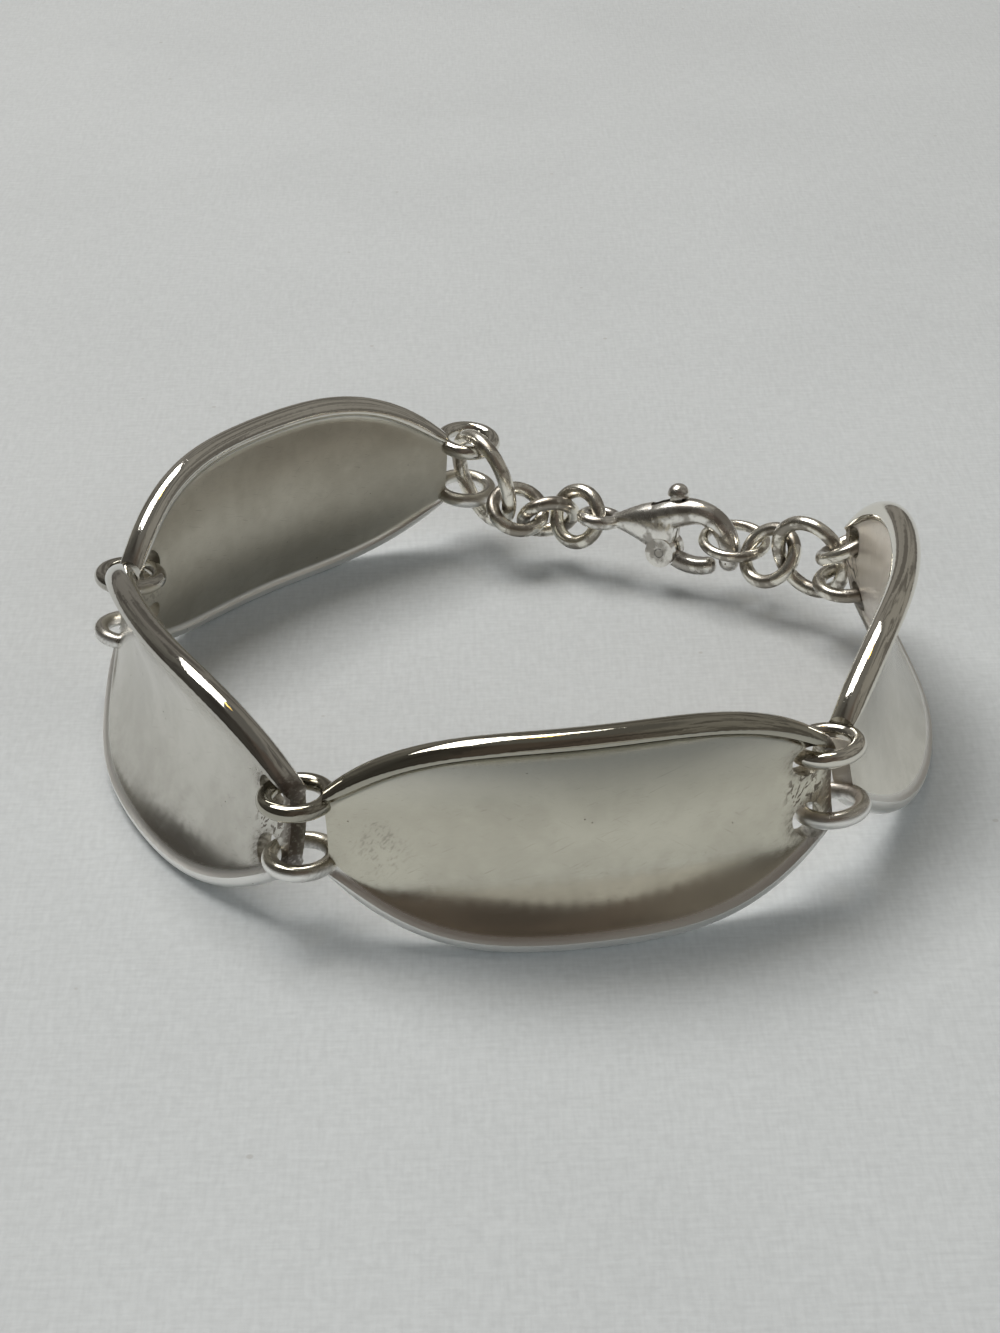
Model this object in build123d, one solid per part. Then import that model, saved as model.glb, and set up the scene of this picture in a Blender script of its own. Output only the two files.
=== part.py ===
from build123d import *

import os
from math import asin, cos, radians, sin, sqrt

# Link bracelet: four heavy saddle-shaped panels joined by wire loops through holes, closed by a
# short chain of rings and a lobster clasp. It stands on a flat surface as a closed loop.
# Millimetres, +Z up. The origin is the middle of the bottom of the bounding box. panel_3 faces
# -Y, the clasp and its chain are at the back.

# Panels: length along the bend, height in the middle and at the ends
panel_length = 36.0
panel_height = 17.4
end_height = 7.1
outline_power = 3.33
bend_radius = 46.0
saddle_rise = 1.34

# Panel wall: hollow from top to bottom, with a rounded rim that stands out on both sides
face_radius = 14.0
wall = 1.6
rim_width = 2.2
rim_cap = 0.9
rim_side = 0.12
rim_end_width = 0.75
rim_stretch_most = 1.25
flare_radius = 1.3
flare_angle = 58.0
cove_radius = 0.8
cove_angle = 45.0

# Joints: two loops on one end of a panel, two holes in the other end
loop_wire = 1.24
loop_radius = 2.24
joint_spacing = 4.8
hole_diameter = 2.6
hole_inset = 1.93
seat_beyond_edge = 0.25
seat_inward = 0.15

# Rings: mean radius and wire
link_ring = (3.95, 1.28)
chain_ring = (2.2, 1.2)
last_chain_ring = (2.25, 1.24)
end_ring = (2.4, 1.14)
large_ring = (3.2, 1.2)
round_ring = (2.35, 1.16)
thin_ring = (2.65, 0.9)

# Lobster clasp in its own plane: x from the eye to the hook, y up, z through the thickness
clasp_length = 12.5
eye_radius = 1.45
eye_wire = 1.16
hinge_x, hinge_y = 0.496 * clasp_length, -0.112 * clasp_length
boss_radius = 1.25
boss_thickness = 2.8
hub_radius = 0.95
tail_thickness = 0.9
tail_width = 1.0
slot_gap = 0.12
knob_x, knob_y = 0.548 * clasp_length, 0.296 * clasp_length
knob_radius = 0.95
knob_cut = 0.1
lever_travel = 18.0
pin_diameter = 0.7
pin_gap = 0.05

# Sections of a panel from end to end: place along its half length, share of the full rim
panel_rows = [
    (-1, 0.5), (-0.95, 0.75), (-0.85, 0.95), (-0.65, 1), (-0.35, 1), (0, 1),
    (0.35, 1), (0.65, 1), (0.85, 0.95), (0.95, 0.75), (1, 0.5),
]

# Sections of the clasp body from the eye, in shares of the clasp's length: x, middle height, half
# height, half thickness
body_rows = [
    (0.104, 0.008, 0.0544, 0.0496), (0.208, 0.032, 0.088, 0.076), (0.336, 0.044, 0.144, 0.1),
    (0.432, 0.04, 0.18, 0.112), (0.512, 0.04, 0.192, 0.112), (0.556, 0.048, 0.168, 0.096),
]

# Round sections of the hook and of the gate: x, y and radius in the same shares, heading in degrees
hook_rows = [
    (0.416, 0.096, 0.108, 20), (0.536, 0.156, 0.1056, 20), (0.656, 0.196, 0.092, 10),
    (0.784, 0.192, 0.08, -22), (0.896, 0.116, 0.0776, -55), (0.956, 0.008, 0.076, -77),
    (0.964, -0.092, 0.0688, -93),
]
gate_rows = [
    (0.552, -0.144, 0.06, -18), (0.632, -0.168, 0.064, -10),
    (0.736, -0.1744, 0.064, 5), (0.82, -0.1544, 0.0608, 18),
]

# Poses of the panels round the loop: turn about Z, lean about the length, tip of the length
panel_poses = {
    "panel_1": (224.9, -6.8, -0.9),
    "panel_2": (-64.7, -5.9, 0.6),
    "panel_3": (6.6, -1.1, -1.2),
    "panel_4": (81.5, -6.1, 2.6),
}
panel_3_place = (5.86, -40.28)

# Poses of the rings between the loops of panel_1 and the holes of panel_4: centre and normal
ring_poses = {
    "link_ring": (link_ring, (-0.98, 20.53, 7.4), (0.841, 0.522, 0.144)),
    "chain_ring_1": (chain_ring, (1.89, 17.93, 5.62), (0.23, -0.482, 0.845)),
    "chain_ring_2": (chain_ring, (4.53, 18.12, 4.73), (0.12, -0.834, -0.539)),
    "chain_ring_3": (last_chain_ring, (7.05, 17.25, 5.11), (-0.604, -0.687, 0.404)),
    "end_ring_upper": (end_ring, (28.76, 3.21, 8.65), (-0.42, 0.305, 0.855)),
    "end_ring_lower": (end_ring, (28.79, 2.83, 5.57), (-0.068, -0.041, 0.997)),
    "joining_ring": (large_ring, (25.97, 5.61, 6.48), (0.637, 0.761, 0.126)),
    "round_ring": (round_ring, (22.88, 8.19, 5.45), (-0.569, -0.509, 0.646)),
    "jump_ring": (thin_ring, (20.14, 10.86, 5.54), (0.034, -0.083, 0.996)),
}
clasp_place = (8.95, 16.0, 5.52)
clasp_along = (0.8999, -0.4327, -0.0551)
clasp_through = (-0.4194, -0.8931, 0.1629)


# Panels

def half_height(s):
    """Half the height of a panel at the distance s from its middle."""
    share = abs(s) / (panel_length / 2)
    return (end_height + (panel_height - end_height) * (1 - share**outline_power)) / 2


def rim_stretch(s):
    """Upright height of a rim that slopes with the outline, over its height square to itself."""
    slope = (half_height(s + 0.01) - half_height(s - 0.01)) / 0.02
    return min(sqrt(1 + slope * slope), rim_stretch_most)


def cross_plane(s):
    """Plane across the panel at s: its x points outward and its y up."""
    turn = s / bend_radius
    rise = saddle_rise * (1 - (2 * half_height(s) / panel_height) ** 2)
    middle = (bend_radius * sin(turn), bend_radius * (1 - cos(turn)) + rise, 0)
    return Plane(origin=middle, x_dir=(sin(turn), -cos(turn), 0), z_dir=(-cos(turn), -sin(turn), 0))


def cross_section(s, rim):
    """Outline of the panel across s, with this share of the full rim."""
    top = half_height(s)
    crease = top - rim_cap * rim * rim_stretch(s) - rim_side
    half = rim_width / 2 * (rim_end_width + (1 - rim_end_width) * rim)

    flare = flare_radius * rim
    turn = radians(flare_angle)
    face_z = (crease - flare * sin(turn)) / (1 - flare / face_radius)
    face_turn = asin(face_z / face_radius)
    face_n = half - flare * (cos(face_turn) - cos(turn))
    middle = (face_turn + turn) / 2
    flare_n = half + flare * (cos(turn) - cos(middle))
    flare_z = crease - flare * (sin(turn) - sin(middle))
    front = face_n - face_radius * (1 - cos(face_turn))

    back_radius = face_radius + wall
    cove = cove_radius * rim
    turn = radians(cove_angle)
    back_z = (crease - cove * sin(turn)) / (1 + cove / back_radius)
    back_turn = asin(back_z / back_radius)
    back_n = -half + cove * (cos(back_turn) - cos(turn))
    middle = (back_turn - turn) / 2
    cove_n = -half + cove * (cos(middle) - cos(turn))
    cove_z = crease - cove * (sin(turn) + sin(middle))
    back = back_n - back_radius * (1 - cos(back_turn))

    side = crease + rim_side
    upper = [
        (face_n, face_z), (flare_n, flare_z), (half, crease), (half, side), (0, top),
        (-half, side), (-half, crease), (cove_n, cove_z), (back_n, back_z),
    ]
    lower = [(n, -z) for n, z in upper]
    edges = [ThreePointArc(lower[0], (front, 0), upper[0]), ThreePointArc(lower[8], (back, 0), upper[8])]
    for p in (upper, lower):
        edges += [ThreePointArc(p[0], p[1], p[2]), Line(p[2], p[3]), ThreePointArc(p[3], p[4], p[5])]
        edges += [Line(p[5], p[6]), ThreePointArc(p[6], p[7], p[8])]
    return cross_plane(s) * make_face(edges)


def end_point(end, beyond, z=0.0):
    """Point beyond the edge of an end (-1 loops, 1 holes), in the middle of the wall."""
    plane = cross_plane(end * panel_length / 2)
    return plane.from_local_coords((-seat_inward, z, -end * beyond))


def make_panel():
    """A panel with its two loops and two holes."""
    body = loft([cross_section(place * panel_length / 2, rim) for place, rim in panel_rows])
    outward = cross_plane(panel_length / 2).x_dir
    for z in (-joint_spacing / 2, joint_spacing / 2):
        hole = Plane(origin=end_point(1, -hole_inset, z), z_dir=outward)
        body -= hole * Cylinder(hole_diameter / 2, 5 * wall)
        body += Pos(*end_point(-1, loop_radius, z)) * Torus(loop_radius, loop_wire / 2)
    return body


def panel_turn(name):
    """Turn of a panel: tip, then lean, then turn about Z."""
    turn, lean, tip = panel_poses[name]
    return Rot(0, 0, turn) * Rot(lean, 0, 0) * Rot(0, tip, 0)


def seat(name, end):
    """Where the two loops of a joint are centred, between them, in the turned panel."""
    beyond = loop_radius if end < 0 else seat_beyond_edge
    return (panel_turn(name) * Location(end_point(end, beyond))).position


def place_panels(panel):
    """All four panels, each with its loops in the holes of its neighbour and its rim at z = 0."""
    places = {"panel_3": Vector(*panel_3_place)}
    places["panel_4"] = places["panel_3"] + seat("panel_3", 1) - seat("panel_4", -1)
    places["panel_2"] = places["panel_3"] + seat("panel_3", -1) - seat("panel_2", 1)
    places["panel_1"] = places["panel_2"] + seat("panel_2", -1) - seat("panel_1", 1)
    placed = {}
    for name in panel_poses:
        turned = panel_turn(name) * panel
        height = -turned.bounding_box().min.Z
        placed[name] = Pos(places[name].X, places[name].Y, height) * turned
    return placed


# Clasp

def round_bar(rows):
    """Bar lofted through round sections, with a ball at its end."""
    rounds = []
    for x, y, radius, heading in rows:
        middle = (x * clasp_length, y * clasp_length, 0)
        ahead = (cos(radians(heading)), sin(radians(heading)), 0)
        rounds.append(Plane(origin=middle, x_dir=(0, 0, 1), z_dir=ahead) * Circle(radius * clasp_length))
    return loft(rounds) + Pos(*middle) * Sphere(radius * clasp_length)


def slab(points, thickness):
    """Flat piece of the clasp's plane, with the thickness in the middle of it."""
    return extrude(make_face(Polyline(points, close=True)), thickness / 2, both=True)


def swing(x, y, angle):
    """A point of the lever turned about the hinge."""
    turned = Rot(0, 0, angle) * Location((x - hinge_x, y - hinge_y, 0))
    return turned.position.X + hinge_x, turned.position.Y + hinge_y


def make_clasp_body():
    """Eye, body and hook, with the slot of the lever."""
    rows = []
    for x, y, half_up, half_through in body_rows:
        middle = (x * clasp_length, y * clasp_length, 0)
        plane = Plane(origin=middle, x_dir=(0, 1, 0), z_dir=(1, 0, 0))
        rows.append(plane * Ellipse(half_up * clasp_length, half_through * clasp_length))
    body = loft(rows) + round_bar(hook_rows)
    body += Pos(hinge_x, hinge_y, 0) * Cylinder(boss_radius, boss_thickness)
    body += Rot(90, 0, 0) * Torus(eye_radius, eye_wire / 2)

    side = tail_width / 2 + slot_gap
    reach = knob_y + knob_radius / 2 + slot_gap
    left, top = swing(knob_x - side, reach, lever_travel + 2)
    right = knob_x + side + slot_gap
    slot = [
        (hinge_x + side, hinge_y), (right, knob_y), (right, reach),
        (left, reach), (left, top), (hinge_x - side, hinge_y),
    ]
    width = tail_thickness + 2 * slot_gap
    body -= slab(slot, width)
    body -= Pos(hinge_x, hinge_y, 0) * Cylinder(boss_radius + slot_gap, width)
    body -= Pos(hinge_x, hinge_y, 0) * Cylinder(pin_diameter / 2 + pin_gap, 2 * boss_thickness)
    return body


def make_clasp_lever():
    """Gate, hub, tail and thumb knob."""
    gate = round_bar(gate_rows)
    gate -= Pos(hinge_x, hinge_y, 0) * Cylinder(boss_radius + slot_gap, 2 * boss_thickness)
    lever = gate + Pos(hinge_x, hinge_y, 0) * Cylinder(hub_radius, tail_thickness)
    half = tail_width / 2
    joined = hinge_x + boss_radius + tail_width / 2
    web = [
        (hinge_x, hinge_y + half), (joined, hinge_y - 0.7 * half),
        (joined, hinge_y - 2 * half), (hinge_x, hinge_y - 1.4 * half),
    ]
    tail = [
        (hinge_x - half, hinge_y), (hinge_x + half, hinge_y),
        (knob_x + half, knob_y), (knob_x - half, knob_y),
    ]
    lever += slab(web, tail_thickness)
    lever += slab(tail, tail_thickness)
    block = 4 * knob_radius
    knob = Pos(knob_x, knob_y, 0) * Sphere(knob_radius)
    lever += knob - Pos(knob_x, knob_y - knob_cut - block / 2, 0) * Box(block, block, block)
    lever -= Pos(hinge_x, hinge_y, 0) * Cylinder(pin_diameter / 2 + pin_gap, 2 * boss_thickness)
    return lever


def make_ring(size, centre, normal):
    """Ring of round wire."""
    radius, wire = size
    return Plane(origin=centre, z_dir=normal) * Torus(radius, wire / 2)


# The bracelet
nodes = place_panels(make_panel())
for name, (size, centre, normal) in ring_poses.items():
    nodes[name] = make_ring(size, centre, normal)
clasp = Plane(origin=clasp_place, x_dir=clasp_along, z_dir=clasp_through)
nodes["clasp_body"] = clasp * make_clasp_body()
nodes["clasp_lever"] = clasp * make_clasp_lever()
nodes["clasp_pin"] = clasp * Pos(hinge_x, hinge_y, 0) * Cylinder(pin_diameter / 2, boss_thickness)

box = Compound(children=[shape.moved(Location((0, 0, 0))) for shape in nodes.values()]).bounding_box()
to_origin = Pos(-(box.min.X + box.max.X) / 2, -(box.min.Y + box.max.Y) / 2, -box.min.Z)

os.makedirs("parts", exist_ok=True)
for name, shape in nodes.items():
    export_step(to_origin * shape, f"parts/{name}.step")
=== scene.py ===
"""Looks of the silver link bracelet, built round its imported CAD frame.

The bracelet stands on a pale sheet in soft window light. Patterns and the places of the panels are in
millimetres, and all else is in metres, in the frame of the CAD model.
"""

from __future__ import annotations

import logging
import math
from dataclasses import dataclass
from typing import Union

import bpy
from mathutils import Matrix, Vector


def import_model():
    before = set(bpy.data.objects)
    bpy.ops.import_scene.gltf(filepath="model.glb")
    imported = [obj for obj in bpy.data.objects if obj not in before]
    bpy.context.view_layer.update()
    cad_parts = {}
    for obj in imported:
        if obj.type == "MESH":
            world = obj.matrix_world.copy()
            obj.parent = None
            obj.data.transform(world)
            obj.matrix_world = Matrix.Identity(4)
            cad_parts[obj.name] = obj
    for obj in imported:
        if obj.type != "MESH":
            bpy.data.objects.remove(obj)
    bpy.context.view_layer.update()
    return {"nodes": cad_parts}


LOG = logging.getLogger("bracelet")
MM_PER_METRE = 1000.0
BLACK = (0.0, 0.0, 0.0)
WELD_GAP = 1e-6

Colour = tuple[float, float, float]
Triple = tuple[float, float, float]
Span = tuple[float, float]
Feed = Union["Value", bpy.types.NodeSocket, float, int, tuple]


class Value:
    """A number inside a material that takes part in Python's sums."""

    def __init__(self, graph: "Graph", socket: bpy.types.NodeSocket) -> None:
        """Wrap a socket.

        Args:
            graph: The material's graph.
            socket: The output that gives the number.
        """
        self.graph = graph
        self.socket = socket

    def __add__(self, other: Feed) -> "Value":
        """Sum."""
        return self.graph.math("ADD", self, other)

    def __radd__(self, other: Feed) -> "Value":
        """Sum with a plain number first."""
        return self.graph.math("ADD", other, self)

    def __sub__(self, other: Feed) -> "Value":
        """Difference."""
        return self.graph.math("SUBTRACT", self, other)

    def __rsub__(self, other: Feed) -> "Value":
        """Difference from a plain number."""
        return self.graph.math("SUBTRACT", other, self)

    def __mul__(self, other: Feed) -> "Value":
        """Product."""
        return self.graph.math("MULTIPLY", self, other)

    def __rmul__(self, other: Feed) -> "Value":
        """Product with a plain number first."""
        return self.graph.math("MULTIPLY", other, self)

    def __truediv__(self, other: Feed) -> "Value":
        """Quotient."""
        return self.graph.math("DIVIDE", self, other)

    def __rtruediv__(self, other: Feed) -> "Value":
        """Quotient of a plain number."""
        return self.graph.math("DIVIDE", other, self)

    def __pow__(self, other: Feed) -> "Value":
        """Power."""
        return self.graph.math("POWER", self, other)

    def __abs__(self) -> "Value":
        """Size without sign."""
        return self.graph.math("ABSOLUTE", self)

    def step(self, low: float, high: float) -> "Value":
        """Smooth step from 0 at low to 1 at high; high may be below low.

        Args:
            low: Where the step starts.
            high: Where the step ends.

        Returns:
            The step's value, from 0 to 1.
        """
        start, end, flip = (low, high, False) if low < high else (high, low, True)
        inputs = {"Value": self, "From Min": start, "From Max": end}
        stepped = self.graph.value("ShaderNodeMapRange", {"interpolation_type": "SMOOTHSTEP"}, inputs)
        return 1 - stepped if flip else stepped


class Graph:
    """Node graph of one material, or of the world."""

    def __init__(self, tree: bpy.types.NodeTree) -> None:
        """Start an empty graph.

        Args:
            tree: The node tree to fill.
        """
        self.tree = tree
        tree.nodes.clear()

    def node(self, kind: str, settings: dict, inputs: dict) -> bpy.types.Node:
        """Add a node.

        Args:
            kind: The node's type.
            settings: Its own settings; "stops" holds a ramp's places and colours.
            inputs: Values or links of its sockets, by name or number.

        Returns:
            The new node.
        """
        made = self.tree.nodes.new(kind)
        for key, setting in settings.items():
            if key == "stops":
                ramp = made.color_ramp
                while len(ramp.elements) < len(setting):
                    ramp.elements.new(0.5)
                for element, (place, colour) in zip(ramp.elements, setting):
                    element.position = place
                    element.color = (*colour, 1.0)
            else:
                setattr(made, key, setting)
        for key, feed in inputs.items():
            socket = made.inputs[key]
            if isinstance(feed, Value):
                self.tree.links.new(feed.socket, socket)
            elif isinstance(feed, bpy.types.NodeSocket):
                self.tree.links.new(feed, socket)
            elif isinstance(feed, tuple) and len(feed) == 3 and socket.type == "RGBA":
                socket.default_value = (*feed, 1.0)
            else:
                socket.default_value = feed
        return made

    def value(self, kind: str, settings: dict, inputs: dict, output: Union[int, str] = 0) -> Value:
        """Add a node and wrap one of its outputs as a number.

        Args:
            kind: The node's type.
            settings: Its own settings.
            inputs: Values or links of its sockets.
            output: The output's name or number.

        Returns:
            The wrapped output.
        """
        return Value(self, self.node(kind, settings, inputs).outputs[output])

    def math(self, operation: str, *feeds: Feed) -> Value:
        """Add a Math node."""
        return self.value("ShaderNodeMath", {"operation": operation}, dict(enumerate(feeds)))

    def most(self, first: Value, *others: Value) -> Value:
        """The largest of several values."""
        for other in others:
            first = self.math("MAXIMUM", first, other)
        return first

    def parts(self, triple: bpy.types.NodeSocket) -> tuple[Value, Value, Value]:
        """The three numbers of a vector."""
        apart = self.node("ShaderNodeSeparateXYZ", {}, {0: triple})
        return tuple(Value(self, apart.outputs[i]) for i in range(3))

    def mix(self, factor: Feed, first: Feed, second: Feed) -> bpy.types.NodeSocket:
        """Blend two colours.

        Args:
            factor: Share of the second colour.
            first: The colour at 0.
            second: The colour at 1.

        Returns:
            The blended colour's socket.
        """
        inputs = {"Factor": factor}
        made = self.node("ShaderNodeMix", {"data_type": "RGBA"}, inputs)
        for name, feed in (("A", first), ("B", second)):
            socket = next(s for s in made.inputs if s.name == name and s.type == "RGBA")
            if isinstance(feed, bpy.types.NodeSocket):
                self.tree.links.new(feed, socket)
            else:
                socket.default_value = (*feed, 1.0)
        return next(s for s in made.outputs if s.type == "RGBA")

    def noise(self, space: Feed, scale: float, detail: float = 3.0, warp: float = 0.0) -> Value:
        """Add a noise pattern.

        Args:
            space: Coordinates of the pattern.
            scale: Spots for each unit of the coordinates.
            detail: Finer layers on top.
            warp: How far the pattern is warped.

        Returns:
            The pattern, from 0 to 1.
        """
        inputs = {"Vector": space, "Scale": scale, "Detail": detail, "Distortion": warp}
        return self.value("ShaderNodeTexNoise", {}, inputs, "Fac")

    def cells(self, space: Feed, scale: float) -> Value:
        """Distance to the nearest of many scattered points.

        Args:
            space: Coordinates of the pattern.
            scale: Points for each unit of the coordinates.

        Returns:
            The distance, in cells.
        """
        return self.value("ShaderNodeTexVoronoi", {}, {"Vector": space, "Scale": scale}, "Distance")

    def stretched(self, space: Feed, scale: Triple, turn: float = 0.0) -> bpy.types.NodeSocket:
        """Stretch and turn coordinates, so that a pattern runs into streaks.

        Args:
            space: Coordinates in millimetres.
            scale: Factors along the three axes.
            turn: Turn about the second axis, in degrees.

        Returns:
            The changed coordinates.
        """
        turned = {"Vector": space, "Rotation": (0.0, math.radians(turn), 0.0)}
        first = self.node("ShaderNodeMapping", {}, turned)
        second = self.node("ShaderNodeMapping", {}, {"Vector": first.outputs[0], "Scale": scale})
        return second.outputs[0]


def new_material(name: str) -> tuple[bpy.types.Material, Graph]:
    """Make a material with an empty graph.

    Args:
        name: The material's name.

    Returns:
        The material and its graph.
    """
    material = bpy.data.materials.new(name)
    material.use_nodes = True
    return material, Graph(material.node_tree)


@dataclass(frozen=True)
class Surface:
    """How strongly a finish's relief shows, and whether it is metal."""

    metallic: float = 1.0
    relief: float = 0.12
    depth: float = 0.00001

    def finish(self, graph: Graph, tone: Feed, roughness: Feed, height: Feed) -> None:
        """Close a material's graph with its shader.

        Args:
            graph: The material's graph.
            tone: Its colour.
            roughness: Its roughness.
            height: Its fine relief.
        """
        inputs = {"Height": height, "Strength": self.relief, "Distance": self.depth}
        bump = graph.node("ShaderNodeBump", {}, inputs)
        inputs = {
            "Base Color": tone,
            "Metallic": self.metallic,
            "Roughness": roughness,
            "Normal": bump.outputs[0],
        }
        shader = graph.node("ShaderNodeBsdfPrincipled", {}, inputs)
        graph.node("ShaderNodeOutputMaterial", {}, {"Surface": shader.outputs[0]})


@dataclass(frozen=True)
class Clouds:
    """A cloudy pattern: its scale, the finer layers on it and how far it is warped."""

    scale: float
    detail: float
    warp: float = 0.0

    def draw(self, graph: Graph, space: Feed) -> Value:
        """Draw the pattern, from 0 to 1."""
        return graph.noise(space, self.scale, self.detail, self.warp)


@dataclass(frozen=True)
class Streaks:
    """A pattern run into streaks: factors along the axes, a turn in degrees, detail and warp."""

    scale: Triple
    turn: float = 0.0
    detail: float = 2.0
    warp: float = 0.0

    def draw(self, graph: Graph, space: Feed) -> Value:
        """Draw the pattern, from 0 to 1."""
        return graph.noise(graph.stretched(space, self.scale, self.turn), 1.0, self.detail, self.warp)


@dataclass(frozen=True)
class Place:
    """Where a piece's own frame lies: turn, lean and tip in degrees, then x, y, z in mm."""

    turn: float = 0.0
    lean: float = 0.0
    tip: float = 0.0
    x: float = 0.0
    y: float = 0.0
    z: float = 0.0

    def matrix(self) -> Matrix:
        """Matrix from the piece's own frame to the bracelet's, in millimetres."""
        about_z = Matrix.Rotation(math.radians(self.turn), 4, "Z")
        about_x = Matrix.Rotation(math.radians(self.lean), 4, "X")
        about_y = Matrix.Rotation(math.radians(self.tip), 4, "Y")
        return Matrix.Translation((self.x, self.y, self.z)) @ about_z @ about_x @ about_y

    def outward(self) -> Triple:
        """Direction out of the piece's own front."""
        return tuple(self.matrix().to_3x3() @ Vector((0.0, -1.0, 0.0)))

    def space(self, graph: Graph) -> bpy.types.NodeSocket:
        """Coordinates of the piece's own frame, in millimetres.

        Args:
            graph: The graph that needs them.

        Returns:
            The coordinates' socket.
        """
        back = self.matrix().inverted()
        point = graph.node("ShaderNodeTexCoord", {}, {}).outputs["Object"]
        inputs = {
            "Vector": point,
            "Scale": (MM_PER_METRE,) * 3,
            "Rotation": tuple(back.to_euler("XYZ")),
            "Location": tuple(back.to_translation()),
        }
        return graph.node("ShaderNodeMapping", {"vector_type": "POINT"}, inputs).outputs[0]


@dataclass(frozen=True)
class Patch:
    """A round patch on a panel: its middle, where it starts and is full, its share and its squash."""

    along: float
    up: float
    fade: Span
    share: float = 1.0
    squash: float = 1.0

    def mask(self, graph: Graph, x: Value, up: Value) -> Value:
        """Draw the patch.

        Args:
            graph: The panel's graph.
            x: Place along the panel.
            up: Place up the panel, or its size where the patch is on both halves.

        Returns:
            The patch, from 0 to its share.
        """
        beside, above = x - self.along, (up - self.up) * self.squash
        return graph.math("SQRT", beside * beside + above * above).step(*self.fade) * self.share


@dataclass(frozen=True)
class PanelShape:
    """The outline of a panel and where its marks lie, in millimetres in its own frame.

    The rim and its crease are given as depths below the outline.
    """

    half_length: float = 17.6
    end_height: float = 7.1
    added_height: float = 10.3
    outline_power: float = 3.33
    rim: Span = (1.65, 1.3)
    crease_in: Span = (1.1, 1.4)
    crease_out: Span = (2.0, 1.5)
    end: Span = (16.5, 17.6)
    foot: Span = (0.0, 1.0)
    # heights over which the painted sheen of the upper face fades in
    shine: Span = (1.5, 7.0)
    facing: Span = (0.15, -0.15)
    hole: Patch = Patch(15.7, 2.4, (2.2, 1.0), 0.7)
    loop: Patch = Patch(-18.4, 2.4, (1.7, 0.6), 0.45)
    between_holes: Patch = Patch(15.8, 0.0, (2.2, 0.9), 0.9, 0.9)
    worn: Patch = Patch(-14.2, -0.8, (2.6, 0.6), 1.0, 0.8)


class PanelMarks:
    """Masks and patterns of one panel, each from 0 to 1."""

    BLOTCH = Clouds(0.13, 4.0, 0.8)
    CLOUD = Clouds(0.9, 5.0, 0.3)
    GRAIN = Streaks((1.2, 6.0, 26.0), 4.0, 3.0)
    FINE = Streaks((3.0, 20.0, 70.0), -9.0)
    RUST = Streaks((2.2, 2.2, 5.0), 50.0, 6.0)
    SCRIBBLE = Streaks((3.4, 3.4, 1.3), -35.0, 3.0, 0.6)
    SCRIBBLE_LINES = (0.52, 0.60)
    CUTS = (
        (Streaks((0.35, 4.0, 14.0), 24.0, 2.0, 0.2), (0.68, 0.73)),
        (Streaks((0.5, 4.0, 17.0), -36.0, 2.0, 0.2), (0.69, 0.74)),
        (Streaks((0.3, 4.0, 22.0), 8.0, 2.0, 0.1), (0.70, 0.74)),
    )
    PIT_SCALE, PIT_SIZE = 1.1, (0.10, 0.05)
    PITTED, PIT_SHARE = (0.52, 0.62), 0.7
    STAINED, STAIN_LEAST = (0.44, 0.74), 0.3
    WORN = (0.50, 0.66)
    VEIL = (0.36, 0.64)

    def __init__(self, graph: Graph, place: Place, shape: PanelShape, grime: float) -> None:
        """Draw the marks.

        Args:
            graph: The panel's graph.
            place: The panel's frame.
            shape: Its outline and the places of its marks.
            grime: How much tarnish its joints hold.
        """
        space = place.space(graph)
        x, _, z = graph.parts(space)
        self.draw_regions(graph, place, shape, x, z)

        self.cloud = self.CLOUD.draw(graph, space)
        self.grain = self.GRAIN.draw(graph, space)
        self.fine = self.FINE.draw(graph, space)
        self.rust = self.RUST.draw(graph, space)
        blotch = self.BLOTCH.draw(graph, space)
        self.veil = (0.6 * blotch + 0.25 * self.cloud + 0.15 * self.grain).step(*self.VEIL)
        self.cuts = graph.most(*(streaks.draw(graph, space).step(*span) for streaks, span in self.CUTS))
        self.pits = graph.cells(space, self.PIT_SCALE).step(*self.PIT_SIZE)

        end = x.step(*shape.end)
        joints = graph.most(shape.hole.mask(graph, x, abs(z)), end, shape.loop.mask(graph, x, abs(z)))
        stain = (self.rust + 0.10 * joints + 0.14 * end).step(*self.STAINED)
        stain = grime * joints * (self.STAIN_LEAST + (1.0 - self.STAIN_LEAST) * stain)
        lines = self.SCRIBBLE.draw(graph, space).step(*self.SCRIBBLE_LINES)
        scribble = grime * shape.between_holes.mask(graph, x, z) * lines
        specks = self.pits * self.cloud.step(*self.PITTED) * self.PIT_SHARE
        self.dirt = graph.most(stain, scribble, specks)
        self.worn = shape.worn.mask(graph, x, z) * self.rust.step(*self.WORN)

    def draw_regions(self, graph: Graph, place: Place, shape: PanelShape, x: Value, z: Value) -> None:
        """Draw the rim, its crease, the foot, the upper face that gets a painted sheen and the inner side.

        Args:
            graph: The panel's graph.
            place: The panel's frame.
            shape: Its outline.
            x: Place along the panel.
            z: Place up the panel.
        """
        share = graph.math("MINIMUM", abs(x) / shape.half_length, 1.0)
        outline = (shape.end_height + shape.added_height * (1 - share**shape.outline_power)) / 2
        depth = outline - abs(z)
        self.rim = depth.step(*shape.rim)
        self.face = 1 - self.rim
        self.crease = depth.step(*shape.crease_in) * depth.step(*shape.crease_out)
        self.upper = z.step(*shape.foot)
        self.foot = 1 - self.upper
        # mask of the upper face, where a sheen is painted
        self.shine = z.step(*shape.shine)

        normal = graph.node("ShaderNodeTexCoord", {}, {}).outputs["Normal"]
        dot = {0: normal, 1: place.outward()}
        facing = graph.value("ShaderNodeVectorMath", {"operation": "DOT_PRODUCT"}, dot, "Value")
        self.inside = facing.step(*shape.facing) * self.face


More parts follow.
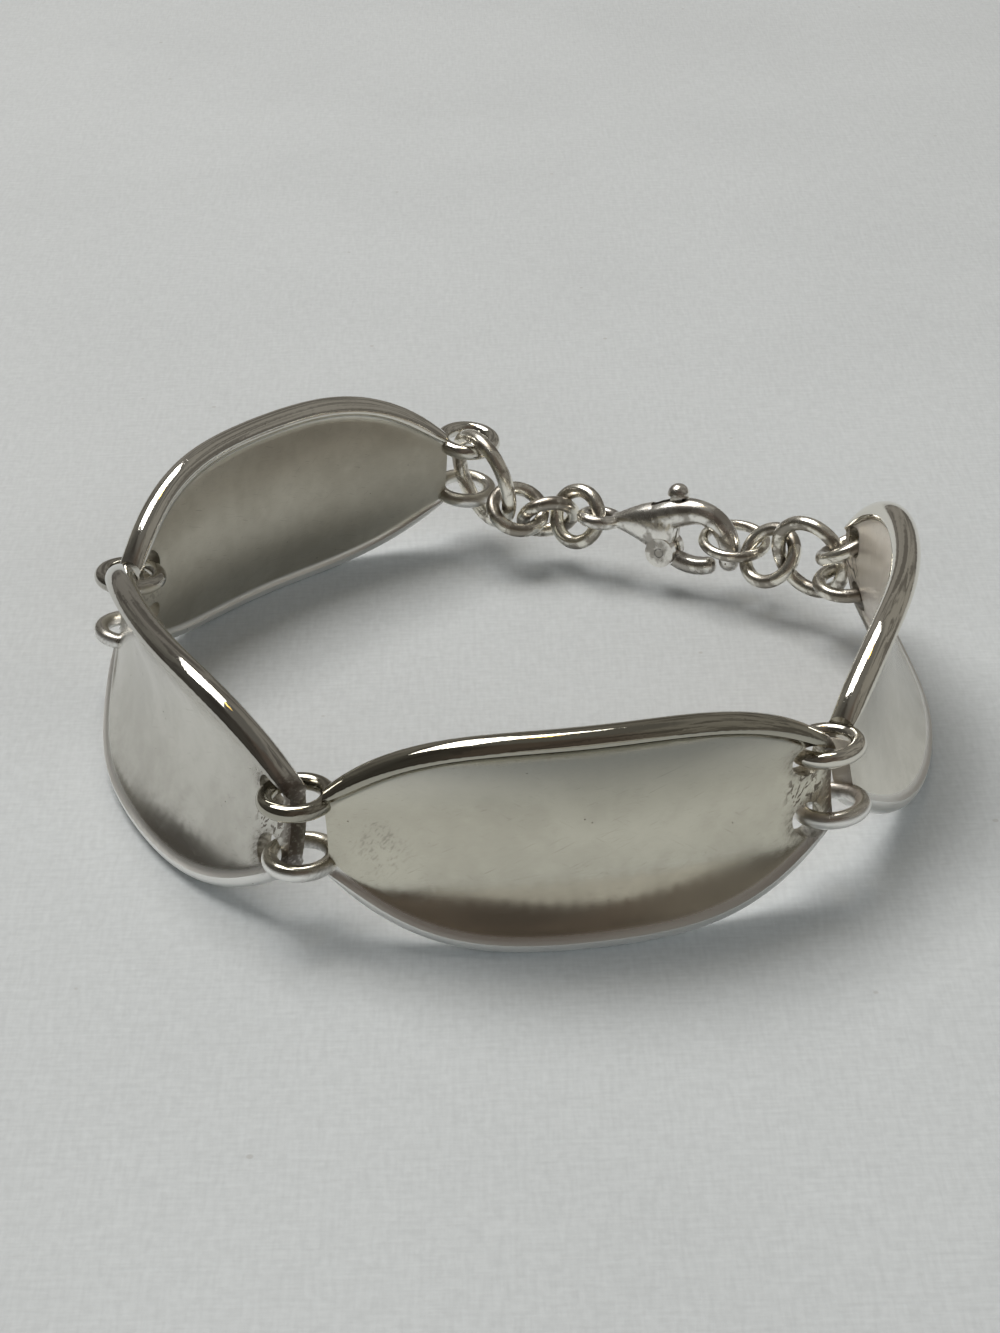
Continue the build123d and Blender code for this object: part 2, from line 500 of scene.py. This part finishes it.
@dataclass(frozen=True)
class PanelSilver:
    """Sterling silver of a panel: satin faces, bright rims and tarnish round the joints, with painted shade
    on the top rims and painted light on the bottom rim and the upper face.
    """

    clean: Colour = (0.82, 0.79, 0.68)
    dull: Colour = (0.68, 0.65, 0.55)
    inner: Colour = (0.60, 0.57, 0.49)
    inner_dull: Colour = (0.44, 0.41, 0.34)
    # colour of the painted sheen on the upper face
    bright: Colour = (0.97, 0.94, 0.85)
    # paler colour of the bottom rim, standing in for the light of the sheet it faces: painted light
    painted_light_foot_tone: Colour = (0.97, 0.96, 0.93)
    tarnish: Colour = (0.085, 0.060, 0.042)
    # share of the top rims' colour that stays; the rest is painted shade, darkening them towards black
    rim_shade: float = 0.70
    face_roughness: float = 0.12
    inner_roughness: float = 0.34
    rim_roughness: float = 0.06
    foot_roughness: float = 0.30
    dirt_roughness: float = 0.3
    patina: float = 0.6
    painted_upper_sheen: float = 0.0
    cut_shade: float = 0.22
    wear: float = 0.0
    grime: float = 1.0
    dirt_share: float = 0.85
    surface: Surface = Surface()
    shape: PanelShape = PanelShape()

    def material(self, name: str, place: Place) -> bpy.types.Material:
        """Make the finish for one panel.

        Args:
            name: The material's name.
            place: The panel's frame.

        Returns:
            The material.
        """
        material, graph = new_material(name)
        marks = PanelMarks(graph, place, self.shape, self.grime)
        tone = self.tone(graph, marks)
        self.surface.finish(graph, tone, self.roughness(marks), self.relief(marks))
        return material

    def tone(self, graph: Graph, marks: PanelMarks) -> bpy.types.NodeSocket:
        """Colour of the silver: patina, a painted sheen on the upper face, a paler bottom rim painted as
        lit, painted shade on the top rims, scratches, wear and tarnish.

        Args:
            graph: The panel's graph.
            marks: The panel's marks.

        Returns:
            The colour's socket.
        """
        patina = marks.veil * self.patina * marks.face
        outer = graph.mix(patina, self.clean, self.dull)
        hollow = graph.mix(patina, self.inner, self.inner_dull)
        tone = graph.mix(marks.inside, outer, hollow)
        # Painted sheen: the upper face is blended towards a pale colour, standing in for the light it
        # catches.
        tone = graph.mix(marks.shine * marks.face * self.painted_upper_sheen, tone, self.bright)
        # Painted light: the bottom rim is blended towards a paler colour.
        tone = graph.mix(marks.rim * marks.foot, tone, self.painted_light_foot_tone)
        # Painted shade: the top rims are darkened towards black.
        tone = graph.mix(marks.rim * marks.upper * (1 - self.rim_shade), tone, BLACK)
        tone = graph.mix(marks.cuts * self.cut_shade * marks.face, tone, self.tarnish)
        tone = graph.mix(marks.worn * self.wear, tone, self.tarnish)
        return graph.mix(marks.dirt * self.dirt_share, tone, self.tarnish)

    def roughness(self, marks: PanelMarks) -> Value:
        """Roughness: satin faces, polished rims, duller where dirty."""
        face = self.face_roughness * (1 - marks.inside) + self.inner_roughness * marks.inside
        face = face + 0.05 * marks.grain + 0.06 * marks.veil + 0.08 * marks.cuts
        rim = self.rim_roughness + self.foot_roughness * marks.foot
        return face * marks.face + rim * marks.rim + self.dirt_roughness * marks.dirt

    @staticmethod
    def relief(marks: PanelMarks) -> Value:
        """Fine relief: brushed grain, scratches, pits, the crease of the rim and crusts of tarnish."""
        brushed = (0.5 * marks.grain + 0.35 * marks.fine) * marks.face
        scars = 0.4 * marks.cuts + 0.6 * marks.pits + marks.dirt * marks.rust
        return brushed + 0.5 * marks.cloud * marks.crease - scars


@dataclass(frozen=True)
class RingSilver:
    """Polished sterling silver of the rings and the clasp, tarnished in patches."""

    clean: Colour = (0.95, 0.92, 0.83)
    tarnish: Colour = (0.12, 0.09, 0.065)
    tarnish_share: float = 0.72
    roughness: float = 0.19
    clouds: Clouds = Clouds(0.55, 4.0, 0.4)
    fine: Clouds = Clouds(2.6, 4.0, 0.2)
    scuffs: Streaks = Streaks((2.0, 9.0, 24.0), 30.0)
    scuffed: Span = (0.66, 0.72)
    tarnished: Span = (0.56, 0.72)
    surface: Surface = Surface(relief=0.1)

    def material(self, name: str) -> bpy.types.Material:
        """Make the finish.

        Args:
            name: The material's name.

        Returns:
            The material.
        """
        material, graph = new_material(name)
        space = Place().space(graph)
        fine = self.fine.draw(graph, space)
        scuffs = self.scuffs.draw(graph, space).step(*self.scuffed)
        dirt = (self.clouds.draw(graph, space) + 0.25 * fine).step(*self.tarnished) * self.tarnish_share
        tone = graph.mix(dirt, self.clean, self.tarnish)
        roughness = self.roughness + 0.16 * dirt + 0.07 * scuffs + 0.05 * fine
        self.surface.finish(graph, tone, roughness, 0.6 * fine - 0.8 * scuffs)
        return material


@dataclass(frozen=True)
class SheetFinish:
    """Pale sheet with a fine woven emboss that the bracelet stands on."""

    colour: Colour = (0.60, 0.617, 0.625)
    speck_colour: Colour = (0.30, 0.27, 0.24)
    dark_share: float = 0.83
    roughness: float = 0.75
    weave_mm: float = 0.32
    thread_stretch: float = 0.12
    clouds: Clouds = Clouds(0.03, 2.0)
    fine: Clouds = Clouds(1.6, 3.0)
    woven: Span = (0.6, 1.4)
    mottled: Span = (0.3, 0.7)
    speck_scale: float = 0.12
    speck_size: Span = (0.035, 0.02)
    speck_share: float = 0.35
    surface: Surface = Surface(0.0, 0.25, 0.0001)

    def material(self, name: str) -> bpy.types.Material:
        """Make the finish.

        Args:
            name: The material's name.

        Returns:
            The material.
        """
        material, graph = new_material(name)
        space = Place().space(graph)
        across, along = 1.0 / self.weave_mm, self.thread_stretch / self.weave_mm
        warp = Streaks((across, along, 1.0)).draw(graph, space)
        weave = warp + Streaks((along, across, 1.0)).draw(graph, space)
        cloud = self.clouds.draw(graph, space)
        fine = self.fine.draw(graph, space)
        speck = graph.cells(space, self.speck_scale).step(*self.speck_size)
        shade = 0.3 * fine.step(*self.mottled) + 0.2 * cloud.step(*self.mottled)
        shade = 0.5 * weave.step(*self.woven) + shade
        tone = graph.mix(shade, self.colour, tuple(self.dark_share * part for part in self.colour))
        tone = graph.mix(speck * self.speck_share, tone, self.speck_colour)
        self.surface.finish(graph, tone, self.roughness, weave + 0.4 * fine)
        return material


def dress(node: bpy.types.Object, material: bpy.types.Material, angle: float) -> None:
    """Give a CAD node its finish and smooth shading.

    Args:
        node: The node's object.
        material: Its finish.
        angle: Edges sharper than this stay crisp, in degrees.
    """
    node.data.materials.clear()
    node.data.materials.append(material)
    weld = node.modifiers.new("weld", "WELD")
    weld.merge_threshold = WELD_GAP
    crisp = node.modifiers.new("crisp", "EDGE_SPLIT")
    crisp.split_angle = math.radians(angle)
    bpy.ops.object.select_all(action="DESELECT")
    node.select_set(True)
    bpy.context.view_layer.objects.active = node
    bpy.ops.object.shade_smooth()


@dataclass
class PanelRow:
    """The four saddle-shaped panels of the bracelet, each with its turn, lean and tip in degrees.

    The reaches are lengths from a panel's origin, in millimetres: to the edge of the end with the
    holes, and to the front of the rim.
    """

    crisp_angle: float = 30.0
    end_reach: float = 17.911
    front_reach: float = 1.1
    panels: tuple[tuple[str, Triple, PanelSilver], ...] = (
        (
            "panel_1",
            (224.9, -6.8, -0.9),
            PanelSilver((0.78, 0.76, 0.70), (0.56, 0.54, 0.48), rim_shade=1.0, grime=0.4),
        ),
        (
            "panel_2",
            (-64.7, -5.9, 0.6),
            PanelSilver((0.72, 0.70, 0.645), (0.52, 0.50, 0.45), rim_shade=0.85),
        ),
        (
            "panel_3",
            (6.6, -1.1, -1.2),
            PanelSilver(
                (0.72, 0.69, 0.585), (0.57, 0.54, 0.455), rim_shade=0.65, face_roughness=0.09,
                painted_upper_sheen=0.8, wear=0.28,
            ),
        ),
        (
            "panel_4",
            (81.5, -6.1, 2.6),
            PanelSilver(
                (0.82, 0.79, 0.71), (0.62, 0.59, 0.52), (0.92, 0.86, 0.79), (0.78, 0.72, 0.65), rim_shade=1.0
            ),
        ),
    )

    def find_place(self, node: bpy.types.Object, turns: Triple) -> Place:
        """Find a panel's own frame from its mesh, which is alike above and below its middle.

        Args:
            node: The panel.
            turns: Its turn, lean and tip.

        Returns:
            The panel's frame.
        """
        turned = Place(*turns).matrix()
        back = turned.inverted()
        points = [back @ (vertex.co * MM_PER_METRE) for vertex in node.data.vertices]
        heights = [point.z for point in points]
        x = max(point.x for point in points) - self.end_reach
        y = min(point.y for point in points) + self.front_reach
        z = (min(heights) + max(heights)) / 2.0
        return Place(*turns, *(turned @ Vector((x, y, z))))

    def build(self, nodes: dict[str, bpy.types.Object]) -> list[str]:
        """Dress the panels.

        Args:
            nodes: The CAD nodes by name.

        Returns:
            Names of the pieces.
        """
        for name, turns, finish in self.panels:
            place = self.find_place(nodes[name], turns)
            dress(nodes[name], finish.material(f"{name}_silver", place), self.crisp_angle)
        return [name for name, _, _ in self.panels]


@dataclass
class RingChain:
    """The loose rings of the back."""

    crisp_angle: float = 30.0
    finish: RingSilver = RingSilver()
    names: tuple[str, ...] = (
        "link_ring", "chain_ring_1", "chain_ring_2", "chain_ring_3", "end_ring_upper",
        "end_ring_lower", "joining_ring", "round_ring", "jump_ring",
    )

    def build(self, nodes: dict[str, bpy.types.Object]) -> list[str]:
        """Dress the rings.

        Args:
            nodes: The CAD nodes by name.

        Returns:
            Names of the pieces.
        """
        material = self.finish.material("ring_silver")
        for name in self.names:
            dress(nodes[name], material, self.crisp_angle)
        return list(self.names)


@dataclass
class LobsterClasp:
    """Body, lever and rivet of the clasp."""

    crisp_angle: float = 40.0
    finish: RingSilver = RingSilver(
        clean=(0.99, 0.97, 0.92), tarnish=(0.14, 0.11, 0.08), tarnish_share=0.60, roughness=0.17
    )
    names: tuple[str, ...] = ("clasp_body", "clasp_lever", "clasp_pin")

    def build(self, nodes: dict[str, bpy.types.Object]) -> list[str]:
        """Dress the clasp.

        Args:
            nodes: The CAD nodes by name.

        Returns:
            Names of the pieces.
        """
        material = self.finish.material("clasp_silver")
        for name in self.names:
            dress(nodes[name], material, self.crisp_angle)
        return list(self.names)


@dataclass(frozen=True)
class Lamp:
    """A soft rectangular lamp that hangs round the bracelet and shines at it.

    The azimuth is counted from the +X axis, in degrees. A lamp that isn't mirrored only fills the
    shadows and shows in no reflection.
    """

    name: str
    azimuth: float
    elevation: float
    size: tuple[float, float]
    power: float
    colour: Colour
    distance: float = 0.9
    mirrored: bool = True


@dataclass
class Studio:
    """Sheet, lamps, surroundings and camera.

    The ring holds the room's colours round the bracelet, from the +X axis as shares of a turn. The
    glow is a pale light low in front, as a flat arch: its place aside and its width are shares of
    the distance ahead, and its height is that of a direction one unit long.
    """

    sheet: SheetFinish = SheetFinish()
    sheet_size: float = 5.0
    aim: Triple = (-0.000606544, 0.00794278, 0.0)
    distance: float = 0.23165
    elevation: float = 29.05
    roll: float = -1.49
    focal_px: float = 2816.8
    frame_px: tuple[int, int] = (1000, 1333)
    film_mm: float = 36.0
    clip: Span = (0.005, 20.0)
    room_strength: float = 1.2
    ring: tuple[tuple[float, Colour], ...] = (
        (0.0, (0.22, 0.21, 0.19)),
        (0.18, (0.21, 0.20, 0.18)),
        (0.32, (0.19, 0.18, 0.165)),
        (0.40, (0.14, 0.135, 0.12)),
        (0.46, (0.07, 0.067, 0.06)),
        (0.55, (0.045, 0.043, 0.038)),
        (0.65, (0.055, 0.05, 0.043)),
        (0.71, (0.088, 0.072, 0.060)),
        (0.80, (0.092, 0.075, 0.063)),
        (0.87, (0.19, 0.18, 0.16)),
        (1.0, (0.22, 0.21, 0.19)),
    )
    lamps: tuple[Lamp, ...] = (
        Lamp("window", 135.0, 66.0, (0.60, 0.50), 6.4, (1.0, 0.99, 0.965)),
        Lamp("warm_lamp", 97.0, 82.0, (0.07, 0.10), 0.09, (1.0, 0.66, 0.14), 0.8),
        Lamp("fill", 283.0, 26.0, (1.1, 0.6), 3.8, (0.87, 0.96, 1.0), 0.9, False),
    )
    glow: Colour = (0.38, 0.375, 0.35)
    glow_aside: float = 0.26
    glow_width: float = 0.42
    glow_height: float = 0.225
    glow_edge: Span = (-0.012, 0.012)
    glow_front: Span = (0.2, 0.4)
    least_ahead: float = 0.05
    clutter: Colour = (0.035, 0.03, 0.026)
    clutter_clouds: Clouds = Clouds(3.5, 4.0, 0.8)
    clutter_edge: Span = (0.44, 0.60)
    clutter_share: float = 0.62
    ceiling: Colour = (0.12, 0.115, 0.105)
    ceiling_edge: Span = (0.86, 0.95)
    horizon: Span = (0.0, -0.05)

    def lay_sheet(self) -> None:
        """Lay the sheet under the bracelet."""
        bpy.ops.object.select_all(action="DESELECT")
        bpy.ops.mesh.primitive_plane_add(size=self.sheet_size, location=(0.0, 0.0, 0.0))
        floor = bpy.context.active_object
        floor.name = "sheet"
        floor.data.materials.append(self.sheet.material("sheet_paper"))

    def hang_lamp(self, lamp: Lamp) -> str:
        """Hang a soft lamp that shines at the bracelet.

        Args:
            lamp: What to hang and where.

        Returns:
            The lamp's name.
        """
        data = bpy.data.lights.new(lamp.name, "AREA")
        data.shape = "RECTANGLE"
        data.size, data.size_y = lamp.size
        data.energy = lamp.power
        data.color = lamp.colour
        hung = bpy.data.objects.new(lamp.name, data)
        round_by, up_by = math.radians(lamp.azimuth), math.radians(lamp.elevation)
        level = Vector((math.cos(round_by), math.sin(round_by), 0.0))
        way = level * math.cos(up_by) + Vector((0.0, 0.0, math.sin(up_by)))
        hung.location = way * lamp.distance
        hung.rotation_euler = way.to_track_quat("Z", "Y").to_euler()
        hung.visible_glossy = lamp.mirrored
        bpy.context.scene.collection.objects.link(hung)
        return lamp.name

    def paint_surroundings(self) -> None:
        """Paint the room: pale at the right and behind, dark at the left and on the viewer's side."""
        world = bpy.data.worlds.new("room")
        world.use_nodes = True
        bpy.context.scene.world = world
        graph = Graph(world.node_tree)
        way = graph.node("ShaderNodeTexCoord", {}, {}).outputs["Generated"]
        x, y, z = graph.parts(way)
        around = graph.math("FRACT", graph.math("ARCTAN2", y, x) / (2.0 * math.pi) + 1.0)
        tone = graph.node("ShaderNodeValToRGB", {"stops": self.ring}, {0: around}).outputs[0]
        clutter = self.clutter_clouds.draw(graph, way).step(*self.clutter_edge)
        tone = graph.mix(self.clutter_share * clutter, tone, self.clutter)
        front = 0.0 - y
        ahead = graph.math("MAXIMUM", front, self.least_ahead)
        aside = (x / ahead - self.glow_aside) / self.glow_width
        glow = (self.glow_height * (1 - aside * aside) - z).step(*self.glow_edge)
        tone = graph.mix(glow * front.step(*self.glow_front), tone, self.glow)
        tone = graph.mix(z.step(*self.ceiling_edge), tone, self.ceiling)
        tone = graph.mix(z.step(*self.horizon), tone, self.sheet.colour)
        shine = graph.node("ShaderNodeBackground", {}, {"Color": tone, "Strength": self.room_strength})
        graph.node("ShaderNodeOutputWorld", {}, {"Surface": shine.outputs[0]})

    def set_camera(self) -> None:
        """Put the camera where the photograph was taken from."""
        rise, roll = math.radians(self.elevation), math.radians(self.roll)
        back = Vector((0.0, -math.cos(rise), math.sin(rise)))
        right, up = Vector((1.0, 0.0, 0.0)), Vector((0.0, math.sin(rise), math.cos(rise)))
        rolled_right = right * math.cos(roll) + up * math.sin(roll)
        rolled_up = up * math.cos(roll) - right * math.sin(roll)
        data = bpy.data.cameras.new("camera")
        data.sensor_fit = "VERTICAL"
        data.sensor_height = self.film_mm
        data.lens = self.focal_px / self.frame_px[1] * self.film_mm
        data.clip_start, data.clip_end = self.clip
        camera = bpy.data.objects.new("camera", data)
        turned = Matrix((rolled_right, rolled_up, back)).transposed().to_4x4()
        camera.matrix_world = Matrix.Translation(back * self.distance + Vector(self.aim)) @ turned
        bpy.context.scene.collection.objects.link(camera)
        bpy.context.scene.camera = camera

    def build(self) -> list[str]:
        """Set up the whole studio.

        Returns:
            Names of the lamps.
        """
        self.lay_sheet()
        self.paint_surroundings()
        names = [self.hang_lamp(lamp) for lamp in self.lamps]
        self.set_camera()
        view = bpy.context.scene.view_settings
        view.view_transform = "Standard"
        view.look = "None"
        return names


def main() -> None:
    """Build the looks in order."""
    logging.basicConfig(level=logging.INFO, format="%(name)s: %(message)s")
    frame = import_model()
    nodes = frame["nodes"]
    for maker in (PanelRow(), RingChain(), LobsterClasp()):
        for piece in maker.build(nodes):
            LOG.info("%s has %s", type(maker).__name__, piece)
    for lamp in Studio().build():
        LOG.info("studio has %s", lamp)


if __name__ == "__main__":
    main()
